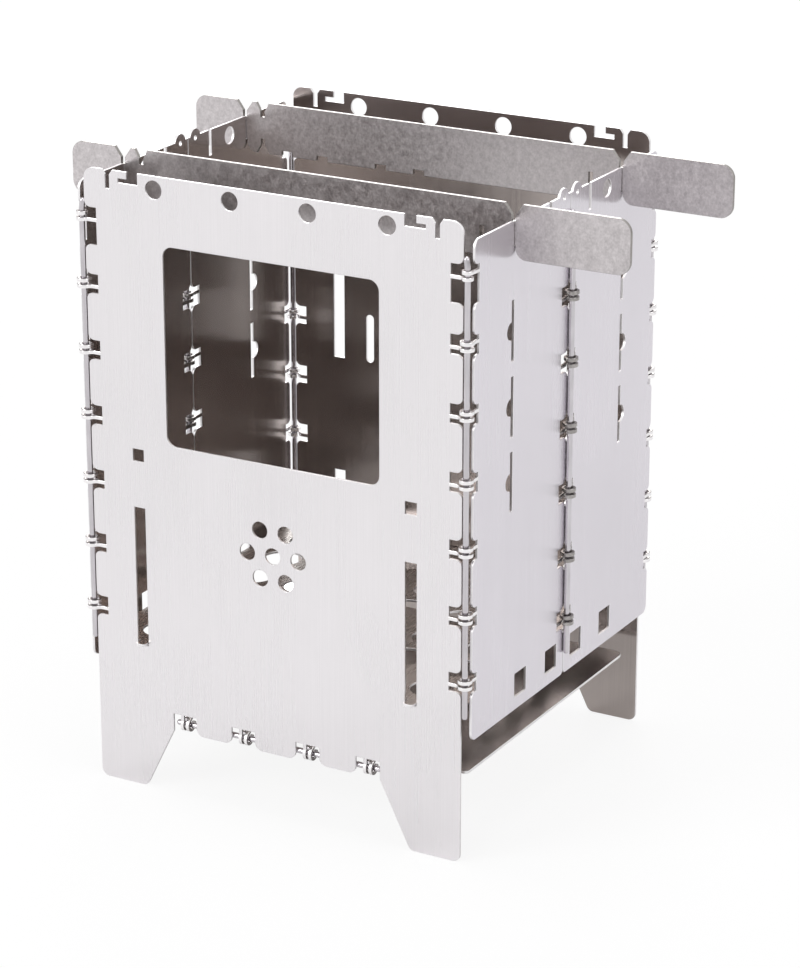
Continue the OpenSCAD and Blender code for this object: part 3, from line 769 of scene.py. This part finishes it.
# %% Front and back panel
panel_tongues = [
    (BOX_X + PANEL_HALF_W - PANEL_BITE, 1, -KNUCKLE_STEP / 2),
    (BOX_X - PANEL_HALF_W + PANEL_BITE, -1, -KNUCKLE_STEP / 2),
]
front = cut_sheet(
    "front_panel_sheet", "front_panel", 1, -FACE_Y, SHEET, panel_face, shaded_inner_face,
    tongues=panel_tongues, shift=up_to_wire,
)
dress(front, "box", "panel_steel", "front_panel")
back = cut_sheet(
    "back_panel_sheet", "back_panel", 1, FACE_Y - SHEET, SHEET, shaded_inner_face, panel_face,
    tongues=panel_tongues, shift=up_to_wire,
)
dress(back, "box", "panel_steel", "back_panel")

# %% The four half walls
for side, sign in (("right", 1), ("left", -1)):
    low_x = BOX_X + WALL_X if sign > 0 else BOX_X - WALL_X - SHEET
    low, high = (shaded_inner_face, shaded_wall_face) if sign > 0 else (shaded_wall_face, shaded_inner_face)
    for half, end in (("front", -1), ("rear", 1)):
        wall_tongues = [
            (end * (WALL_END_Y - CORNER_BITE), end, KNUCKLE_STEP / 2),
            (end * (WALL_MID_GAP / 2 + MIDDLE_BITE), -end, end * KNUCKLE_STEP / 2),
        ]
        node = f"{side}_{half}_wall"
        wall = cut_sheet(
            node + "_sheet", node, 0, low_x, SHEET, low, high, tongues=wall_tongues, shift=nearly_closed
        )
        dress(wall, "box", "wall_steel", node)

# %% [markdown]
# Rolled knuckles
#
# A knuckle is a narrow tongue of the sheet itself, rolled round the wire with pliers. It doesn't close:
# a small gap stays where its end comes back to the tongue. Two knuckles of neighbouring sheets sit
# one above the other on the wire. The shape follows a rule, so its middle line is worked out here, and
# a tree sweeps a strip along it and sets one at every station of the hinge. A Simple Deform modifier
# could bend a strip too, but evenly and to one side, and a tongue first bends aside and then curls.

# %% Middle line of a knuckle
BLEND_STEPS = 6
ARC_STEPS = 22
# A tongue turns aside BEND_RUN times its bend before the circle, and curls on by FULL_CURL degrees.
BEND_RUN = 2.2
FULL_CURL = 300


def curl_line(reach, side, radius, first_angle, bend, sweep=FULL_CURL):
    """Points from the sheet at X = -reach, Y = side, that bend on to a circle round the origin."""
    a = math.radians(first_angle)
    join = Vector((radius * math.cos(a), radius * math.sin(a)))
    heading = Vector((math.sin(a), -math.cos(a)))
    leave = Vector((join.x - BEND_RUN * bend, side))
    pull_1, pull_2 = leave + Vector((bend, 0)), join - heading * bend
    points = [Vector((-reach, side))]
    for i in range(BLEND_STEPS):
        t = i / BLEND_STEPS
        u = 1 - t
        points.append(u**3 * leave + 3 * u * u * t * pull_1 + 3 * u * t * t * pull_2 + t**3 * join)
    for i in range(ARC_STEPS + 1):
        b = a - math.radians(sweep) * i / ARC_STEPS
        points.append(Vector((radius * math.cos(b), radius * math.sin(b))))
    return points


# %% Strip tree
STRIP_INPUTS = {
    "Width": "NodeSocketFloat",
    "Thickness": "NodeSocketFloat",
    "Edge round": "NodeSocketFloat",
    "Count": "NodeSocketInt",
    "Pitch": "NodeSocketFloat",
    "Rolled face": "NodeSocketMaterial",
    "Cut edge": "NodeSocketMaterial",
}
# A face belongs to a cut edge where the upright part of its normal is larger than this.
LEVEL_ENOUGH = 0.6


def make_strip_group():
    """A strip swept along a line and set at a pitch up the wire, with its cut edges painted apart."""
    group, given, result = new_group("Rolled strips at a pitch", STRIP_INPUTS)
    line = add(group, "GeometryNodeMeshToCurve", {"Mesh": given["Geometry"]}).outputs[0]
    tilted = add(group, "GeometryNodeSetCurveNormal", {"Curve": line}, mode="Z_UP").outputs[0]
    sides = {"Width": given["Thickness"], "Height": given["Width"]}
    section = add(group, "GeometryNodeCurvePrimitiveQuadrilateral", sides).outputs[0]
    rounds = {"Curve": section, "Radius": given["Edge round"], "Limit Radius": True, "Count": 2}
    section = add(group, "GeometryNodeFilletCurve", rounds, mode="POLY").outputs[0]
    swept = {"Curve": tilted, "Profile Curve": section, "Fill Caps": True}
    strip = add(group, "GeometryNodeCurveToMesh", swept).outputs[0]
    step = add(group, "ShaderNodeCombineXYZ", {"Z": given["Pitch"]}).outputs[0]
    spots = {"Count": given["Count"], "Offset": step}
    row = add(group, "GeometryNodeMeshLine", spots, mode="OFFSET").outputs[0]
    copies = add(group, "GeometryNodeInstanceOnPoints", {"Points": row, "Instance": strip}).outputs[0]
    real = add(group, "GeometryNodeRealizeInstances", {"Geometry": copies}).outputs[0]
    painted = {"Geometry": real, "Material": given["Rolled face"]}
    painted = add(group, "GeometryNodeSetMaterial", painted).outputs[0]
    normal = add(group, "GeometryNodeInputNormal").outputs[0]
    height = add(group, "ShaderNodeSeparateXYZ", {0: normal}).outputs["Z"]
    height = add(group, "ShaderNodeMath", {0: height}, operation="ABSOLUTE").outputs[0]
    level = {0: height, 1: LEVEL_ENOUGH}
    level = add(group, "ShaderNodeMath", level, operation="GREATER_THAN").outputs[0]
    edges = {"Geometry": painted, "Selection": level, "Material": given["Cut edge"]}
    group.links.new(add(group, "GeometryNodeSetMaterial", edges).outputs[0], result[0])
    return group


strip_group = make_strip_group()
print(strip_group.name, "has", len(strip_group.nodes), "nodes")

# %% A row of knuckles
# Thinner than the sheet by a hair, so that no face of a knuckle's root lies in a face of the sheet.
ROLLED_T = 0.96 * SHEET
ROLLED_EDGE = 0.2 * MM
KNUCKLE_SMOOTH = 40


def line_object(name, points):
    """A mesh of edges along these points."""
    mesh = bpy.data.meshes.new(name)
    edges = [(i, i + 1) for i in range(len(points) - 1)]
    mesh.from_pydata([(p[0], p[1], p[2] if len(p) > 2 else 0) for p in points], edges, [])
    obj = bpy.data.objects.new(name, mesh)
    bpy.context.scene.collection.objects.link(obj)
    return obj


def knuckle_row(name, line, count, pitch, matrix, face=highlit_knuckle_face):
    """Knuckles on one wire, from the lowest one at the matrix's origin."""
    row = line_object(name, line)
    values = {
        "Width": KNUCKLE_WIDTH,
        "Thickness": ROLLED_T,
        "Edge round": ROLLED_EDGE,
        "Count": count,
        "Pitch": pitch,
        "Rolled face": face,
        "Cut edge": shaded_knuckle_edge,
    }
    run_tree(row, strip_group, values)
    return place(row, matrix, smooth=KNUCKLE_SMOOTH)


# %% Several pieces in one mesh
def joined(name, pieces):
    """One mesh out of several finished pieces, under a new name. The pieces themselves go."""
    whole = bmesh.new()
    finishes = []
    for piece in pieces:
        new_index = {}
        for i, material in enumerate(piece.data.materials):
            if material not in finishes:
                finishes.append(material)
            new_index[i] = finishes.index(material)
        for polygon in piece.data.polygons:
            polygon.material_index = new_index[polygon.material_index]
        whole.from_mesh(piece.data)
    mesh = bpy.data.meshes.new(name)
    whole.to_mesh(mesh)
    whole.free()
    for material in finishes:
        mesh.materials.append(material)
    for piece in pieces:
        bpy.data.objects.remove(piece)
    obj = bpy.data.objects.new(name, mesh)
    bpy.context.scene.collection.objects.link(obj)
    print(name, "has", len(mesh.polygons), "faces")
    return obj


# %% [markdown]
# The upright hinges
#
# Every upright wire holds seven pairs of knuckles. The corner wires stand in line with the panels, so
# a panel's knuckle leaves the middle of the sheet and has to bend aside before it can go round. The
# walls lie beside their wires, so theirs run almost straight on to the circle. The highest pair of
# each wire is squeezed tight on it, and keeps it from dropping out.

# %% The curls of each hinge
CURL_R = 2.2 * MM
CRIMP_R = 1.65 * MM
WALL_MID_X = WALL_X + SHEET / 2
# A tongue starts this far inside the sheet, so that no gap shows between the two.
ROOT = 0.3 * MM
# Angle in degrees at which a tongue meets its circle, and how softly it bends on to it.
PANEL_CURL = (150, 0.9 * MM)
WALL_CURL = (110, 0.6 * MM)


def plain_and_tight(reach, side, first_angle, bend):
    """Middle lines of one sheet's knuckles: the six plain ones, and the tight one at the top."""
    return [curl_line(reach + ROOT, side, radius, first_angle, bend) for radius in (CURL_R, CRIMP_R)]


panel_lines = plain_and_tight(CORNER_X - PANEL_HALF_W + PANEL_BITE, 0, *PANEL_CURL)
corner_lines = plain_and_tight(CORNER_Y - WALL_END_Y + CORNER_BITE, WALL_MID_X - CORNER_X, *WALL_CURL)
middle_lines = plain_and_tight(WALL_MID_GAP / 2 + MIDDLE_BITE, MIDDLE_X - WALL_MID_X, *WALL_CURL)
print("a curl is", round(2 * CURL_R / MM + ROLLED_T / MM, 1), "mm wide over its outside")

# %% Knuckles on the upright wires
PITCH = STATIONS[1] - STATIONS[0]


def hinge_rows(name, spot, sheet_way, open_way, level, lines, face=highlit_knuckle_face):
    """The seven knuckles of one sheet at spot. sheet_way points from the wire to the sheet."""
    away = [-c for c in sheet_way]
    top = len(STATIONS) - 1
    rows = []
    for line, start, count in ((lines[0], 0, top), (lines[1], top, 1)):
        lowest = Vector((spot[0], spot[1], STATIONS[start] + level))
        matrix = stand(away, open_way, Z, lowest)
        rows.append(knuckle_row(f"{name}_{start}", line, count, PITCH, matrix, face))
    return rows


panel_rows, wall_rows = [], []
for sx in (1, -1):
    for sy in (-1, 1):
        corner = (BOX_X + sx * CORNER_X, sy * CORNER_Y)
        middle = (BOX_X + sx * MIDDLE_X, 0)
        panel_rows += hinge_rows(
            f"panel_knuckles_{sx}_{sy}", corner, (-sx, 0, 0), (0, sy, 0), -KNUCKLE_STEP / 2, panel_lines
        )
        wall_rows += hinge_rows(
            f"wall_knuckles_{sx}_{sy}", corner, (0, -sy, 0), (sx, 0, 0), KNUCKLE_STEP / 2, corner_lines
        )
        wall_rows += hinge_rows(
            f"middle_knuckles_{sx}_{sy}", middle, (0, sy, 0), (-sx, 0, 0), sy * KNUCKLE_STEP / 2,
            middle_lines, shaded_middle_knuckle,
        )
dress(joined("panel_knuckles", panel_rows), "box", "panel_steel")
dress(joined("wall_knuckles", wall_rows), "box", "wall_steel")

# %% [markdown]
# Hinge wires
#
# The hinges turn on cut lengths of drawn stainless wire, 2.2 mm thick. Their ends are rounded off, and
# the upper end has a slight kink that grips the highest pair of knuckles. A tree sweeps a circle along
# the wire's middle line, and lets it shrink to nearly nothing over the last millimetre. A cylinder
# with a Bevel modifier would have round ends too, but it would have no kink.

# %% Wire tree
WIRE_INPUTS = {
    "Radius": "NodeSocketFloat",
    "End round": "NodeSocketFloat",
    "Sides": "NodeSocketInt",
    "Finish": "NodeSocketMaterial",
}
# The share of the radius that is left at the very tip.
SMALLEST_SHARE = 0.05


def make_wire_group():
    """A round wire along a line, whose radius follows a quarter circle towards each end."""
    group, given, result = new_group("Wire with round ends", WIRE_INPUTS)
    line = add(group, "GeometryNodeMeshToCurve", {"Mesh": given["Geometry"]}).outputs[0]
    gone = add(group, "GeometryNodeSplineParameter").outputs["Length"]
    whole = add(group, "GeometryNodeSplineLength").outputs["Length"]
    left = add(group, "ShaderNodeMath", {0: whole, 1: gone}, operation="SUBTRACT").outputs[0]
    nearest = add(group, "ShaderNodeMath", {0: gone, 1: left}, operation="MINIMUM").outputs[0]
    share = {0: nearest, 1: given["End round"]}
    share = add(group, "ShaderNodeMath", share, operation="DIVIDE", use_clamp=True).outputs[0]
    rest = add(group, "ShaderNodeMath", {0: 1.0, 1: share}, operation="SUBTRACT").outputs[0]
    square = add(group, "ShaderNodeMath", {0: rest, 1: rest}, operation="MULTIPLY").outputs[0]
    height = add(group, "ShaderNodeMath", {0: 1.0, 1: square}, operation="SUBTRACT").outputs[0]
    width = add(group, "ShaderNodeMath", {0: height}, operation="SQRT").outputs[0]
    width = {0: width, 1: SMALLEST_SHARE}
    width = add(group, "ShaderNodeMath", width, operation="MAXIMUM").outputs[0]
    radius = {0: width, 1: given["Radius"]}
    radius = add(group, "ShaderNodeMath", radius, operation="MULTIPLY").outputs[0]
    circle = {"Resolution": given["Sides"], "Radius": 1.0}
    circle = add(group, "GeometryNodeCurvePrimitiveCircle", circle, mode="RADIUS").outputs[0]
    swept = {"Curve": line, "Profile Curve": circle, "Scale": radius, "Fill Caps": True}
    swept = add(group, "GeometryNodeCurveToMesh", swept).outputs[0]
    real = add(group, "GeometryNodeRealizeInstances", {"Geometry": swept}).outputs[0]
    painted = {"Geometry": real, "Material": given["Finish"]}
    group.links.new(add(group, "GeometryNodeSetMaterial", painted).outputs[0], result[0])
    return group


wire_group = make_wire_group()
print(wire_group.name, "has", len(wire_group.nodes), "nodes")

# %% A wire
END_STEPS = (0.0, 0.05, 0.15, 0.3, 0.5, 0.75, 1.0)
LENGTH_STEPS = 40
WIRE_SIDES = 20
WIRE_SMOOTH = 50


def wire_line(length, kink, kink_length):
    """Points along Z with close steps at both ends. Over kink_length its top swings to one side."""
    ends = [WIRE_R * s for s in END_STEPS]
    steps = [length * i / LENGTH_STEPS for i in range(1, LENGTH_STEPS)]
    points = []
    for z in sorted(ends + steps + [length - e for e in ends]):
        past = max(0.0, z - length + kink_length) / kink_length if kink else 0.0
        points.append((kink * past * past * (3 - 2 * past), 0, z))
    return points


def wire_piece(name, node, matrix, length, kink=0.0, kink_length=0.0):
    """A finished wire that stands for a CAD pin."""
    obj = line_object(name, wire_line(length, kink, kink_length))
    values = {"Radius": WIRE_R, "End round": WIRE_R, "Sides": WIRE_SIDES, "Finish": wire}
    run_tree(obj, wire_group, values)
    dress(place(obj, matrix, smooth=WIRE_SMOOTH), "box", "pin_steel", node)


# %% The stove's seven wires
KINK = 0.45 * MM
KINK_LENGTH = 5.0 * MM
for node in [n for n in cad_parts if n.endswith("_pin") and n != "ash_plate_pin"]:
    low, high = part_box(node)
    centre = middle_of(node)
    inwards = Vector((math.copysign(1, BOX_X - centre.x), 0, 0))
    matrix = stand(inwards, Vector(Z).cross(inwards), Z, (centre.x, centre.y, low.z))
    wire_piece(node.replace("_pin", "_wire"), node, matrix, high.z - low.z, KINK, KINK_LENGTH)
low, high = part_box("ash_plate_pin")
ash_wire = middle_of("ash_plate_pin")
matrix = stand(Z, Y, X, (low.x, ash_wire.y, ash_wire.z))
wire_piece("ash_plate_wire", "ash_plate_pin", matrix, high.x - low.x)

# %% [markdown]
# Ash plate
#
# The ash plate is a flat sheet under the grate. It hangs on a wire behind the front panel's lower edge,
# and swings down to be emptied. It was left with the mill's bright finish, and mirrors what stands
# round it. Its four knuckles belong to its own mesh, so that they turn with it. The four that the
# front panel curls round the same wire stay still, so they are a piece of the box.

# %% Ash plate with its hinge
# The front panel's four cut-outs for this hinge: their middles to the left and right, and their top.
SKIRT_BITES = [s * MM for s in (-39.6, -13.9, 13.9, 39.6)]
SKIRT_BITE_TOP = 32.5 * MM
# The plate's own tongues start this far behind the wire, a little way into the plate.
MOVING_REACH = 6.2 * MM
MOVING_CURL = (68, 1.6 * MM)
# How far they curl round the wire, in degrees.
MOVING_SWEEP = 262

ash_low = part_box("ash_plate")[1].z - SHEET
ash_sheet = cut_sheet("ash_plate_blank", "ash_plate", 2, ash_low, SHEET, ash_face, ash_face)
ash_lift = ash_low + SHEET / 2 - ash_wire.z
skirt_side = FACE_Y - SHEET / 2 + ash_wire.y
moving_line = curl_line(MOVING_REACH, ash_lift, CURL_R, *MOVING_CURL, MOVING_SWEEP)
fixed_line = curl_line(SKIRT_BITE_TOP - ash_wire.z + ROOT, skirt_side, CURL_R, *WALL_CURL)
moving, fixed = [ash_sheet], []
for i, x in enumerate(SKIRT_BITES):
    at = Vector((BOX_X + x, ash_wire.y, ash_wire.z))
    half_step = Vector((KNUCKLE_STEP / 2, 0, 0))
    matrix = stand((0, -1, 0), Z, X, at + half_step)
    moving.append(knuckle_row(f"moving_{i}", moving_line, 1, 0.0, matrix))
    matrix = stand((0, 0, -1), (0, -1, 0), X, at - half_step)
    fixed.append(knuckle_row(f"fixed_{i}", fixed_line, 1, 0.0, matrix))
dress(joined("ash_plate_sheet", moving), "ash_tray", "ash_plate_steel", "ash_plate")
dress(joined("ash_hinge_knuckles", fixed), "box", "panel_steel")

# %% [markdown]
# Grate and pot supports
#
# The grate is a flat pierced sheet that the fire lies on. The pot supports are two strips of thicker
# sheet, set on edge in the walls' slots. They were tumbled with stones after cutting, which left them
# grey and mottled. All three are flat blanks like the walls, so the same function cuts them, and their
# places and thicknesses are read from the model.

# %% Grate and pot supports
low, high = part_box("grate")
grate = cut_sheet("grate_sheet", "grate", 2, low.z, high.z - low.z, grate_face, grate_face)
dress(grate, "fire_grate", "grate_steel", "grate")
for side in ("front", "rear"):
    node = f"{side}_pot_support"
    low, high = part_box(node)
    support = cut_sheet(
        node + "_sheet", node, 1, low.y, high.y - low.y, support_face, support_face, shaded_support_edge
    )
    dress(support, f"{side}_support", "support_steel", node)
